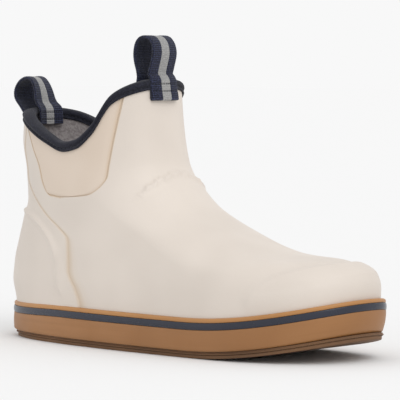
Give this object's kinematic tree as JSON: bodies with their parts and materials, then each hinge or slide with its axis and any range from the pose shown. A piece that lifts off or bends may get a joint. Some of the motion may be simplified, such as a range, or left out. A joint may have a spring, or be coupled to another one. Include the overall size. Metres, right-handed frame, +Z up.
{
  "type": "ankle deck boot",
  "caption": "Pull-on ankle deck boot with a rubber upper, stretch side panels, bound collar, two webbing pull loops and a foxed grip sole; right foot.",
  "frame": {"origin": "centre of the boot's outline on the ground", "axes": "+X heel to toe, +Y to the inner side of the foot, +Z up"},
  "size_m": [0.3068, 0.1046, 0.208],
  "materials": {
    "upper_rubber": "matte, faintly satin",
    "stretch_panel": "matte",
    "gum_rubber": "satin",
    "gum_strip_rubber": "satin",
    "outsole_rubber": "matte",
    "stripe_rubber": "glossy",
    "foam": "matte",
    "insole_board": "matte",
    "stiffener": "matte",
    "lining_fabric": "heathered knit",
    "binding_tape": "matte knit",
    "webbing": "ribbed weave",
    "thread": "satin thread"
  },
  "bodies": {
    "boot": {"outsole": "outsole_rubber", "foxing_wall": "gum_rubber", "foxing_stripe": "stripe_rubber", "foxing_top_strip": "gum_strip_rubber", "midsole": "foam", "insole_board": "insole_board", "footbed_foam": "foam", "footbed_cover": "lining_fabric", "toe_puff": "stiffener", "heel_counter": "stiffener", "vamp_reinforcement": "stiffener", "rubber_vamp": "upper_rubber", "back_quarter": "upper_rubber", "lateral_gore": "stretch_panel", "medial_gore": "stretch_panel", "neoprene_bootie": "foam", "lining": "lining_fabric", "collar_binding": "binding_tape", "binding_stitching_lateral": "thread", "binding_stitching_medial": "thread", "front_loop_outer_tab": "webbing", "front_loop_inner_tab": "webbing", "front_outer_tab_stitching": "thread", "front_inner_tab_stitching": "thread", "rear_loop_outer_tab": "webbing", "rear_loop_inner_tab": "webbing", "rear_outer_tab_stitching": "thread", "rear_inner_tab_stitching": "thread"},
    "front_loop": {"front_pull_loop": "webbing"},
    "rear_loop": {"rear_pull_loop": "webbing"}
  },
  "joints": [
    {"name": "front_loop_flex", "type": "hinge", "parent": "boot", "child": "front_loop", "pos_m": [-0.02249, 0, 0.1785], "axis": [0, 1, 0], "range_deg": [-60, 60], "stiffness_Nm_per_rad": 0.02},
    {"name": "rear_loop_flex", "type": "hinge", "parent": "boot", "child": "rear_loop", "pos_m": [-0.13276, 0, 0.158], "axis": [0, -1, 0], "range_deg": [-65, 45], "stiffness_Nm_per_rad": 0.02}
  ]
}
